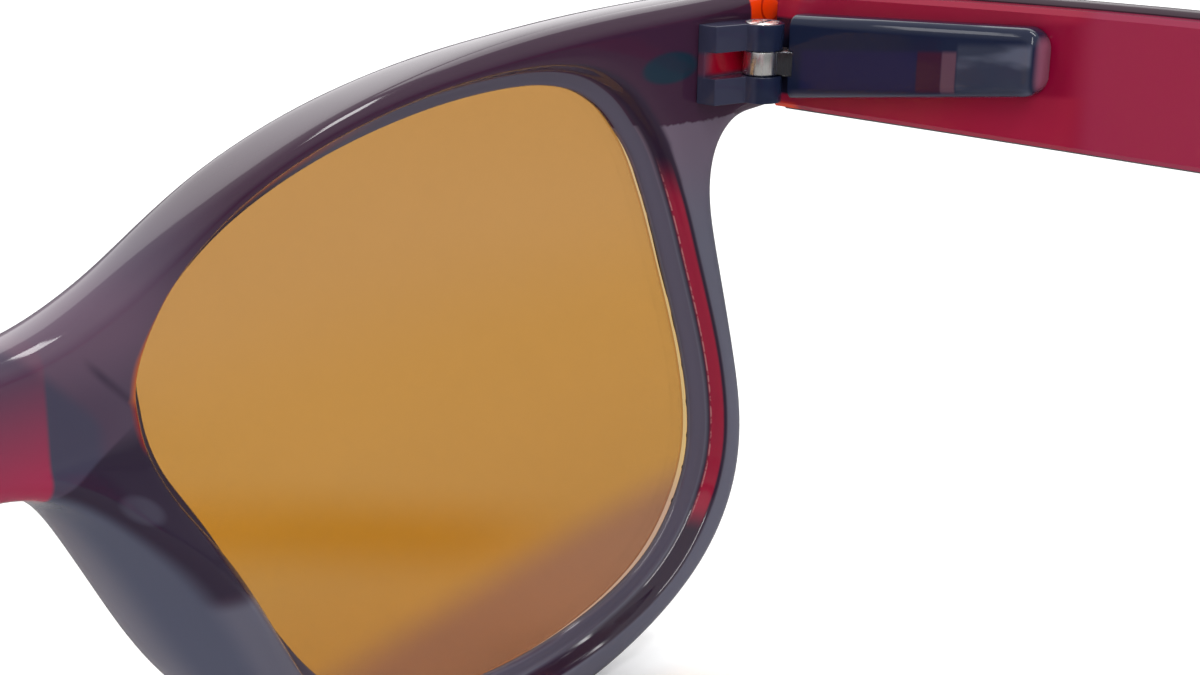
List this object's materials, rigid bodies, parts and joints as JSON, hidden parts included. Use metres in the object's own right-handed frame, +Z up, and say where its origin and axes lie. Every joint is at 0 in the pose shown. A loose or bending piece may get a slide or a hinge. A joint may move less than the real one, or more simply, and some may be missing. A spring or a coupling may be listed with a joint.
{
  "type": "sunglasses",
  "caption": "Full-rim sunglasses with a thick plum front, amber lenses, moulded nose pads and folding temples with red inner faces on slotted screw hinges.",
  "frame": {"origin": "bottom centre of the open glasses, on the surface that they stand on with the rims and the temple tips", "axes": "+X to the wearer's left, +Y back along the temples towards the ears, +Z up; the wearer looks along -Y"},
  "size_m": [0.1432, 0.1371, 0.0527],
  "materials": {
    "front": "polished, slightly see-through plum",
    "lens": "polished amber tint",
    "hinge": "polished dark navy",
    "metal": "bright steel",
    "temple_outer": "polished dark plum",
    "temple_inner": "polished crimson"
  },
  "bodies": {
    "front": {"front_frame": "front", "lens_left": "lens", "lens_right": "lens", "hinge_block_left": "hinge", "hinge_block_right": "hinge", "hinge_screw_left": "metal", "hinge_screw_right": "metal", "front_rivet_left": "metal", "front_rivet_right": "metal"},
    "temple_left": {"temple_shell_left": "temple_outer", "temple_liner_left": "temple_inner", "hinge_housing_left": "hinge", "hinge_leaf_left": "metal"},
    "temple_right": {"temple_shell_right": "temple_outer", "temple_liner_right": "temple_inner", "hinge_housing_right": "hinge", "hinge_leaf_right": "metal"}
  },
  "joints": [
    {"name": "fold_left", "type": "hinge", "parent": "front", "child": "temple_left", "pos_m": [0.064, -0.05286, 0.04733], "axis": [0, 0.0675, 0.9977], "range_deg": [0, 80]},
    {"name": "fold_right", "type": "hinge", "parent": "front", "child": "temple_right", "pos_m": [-0.064, -0.05286, 0.04733], "axis": [0, -0.0675, -0.9977], "range_deg": [0, 90]}
  ]
}
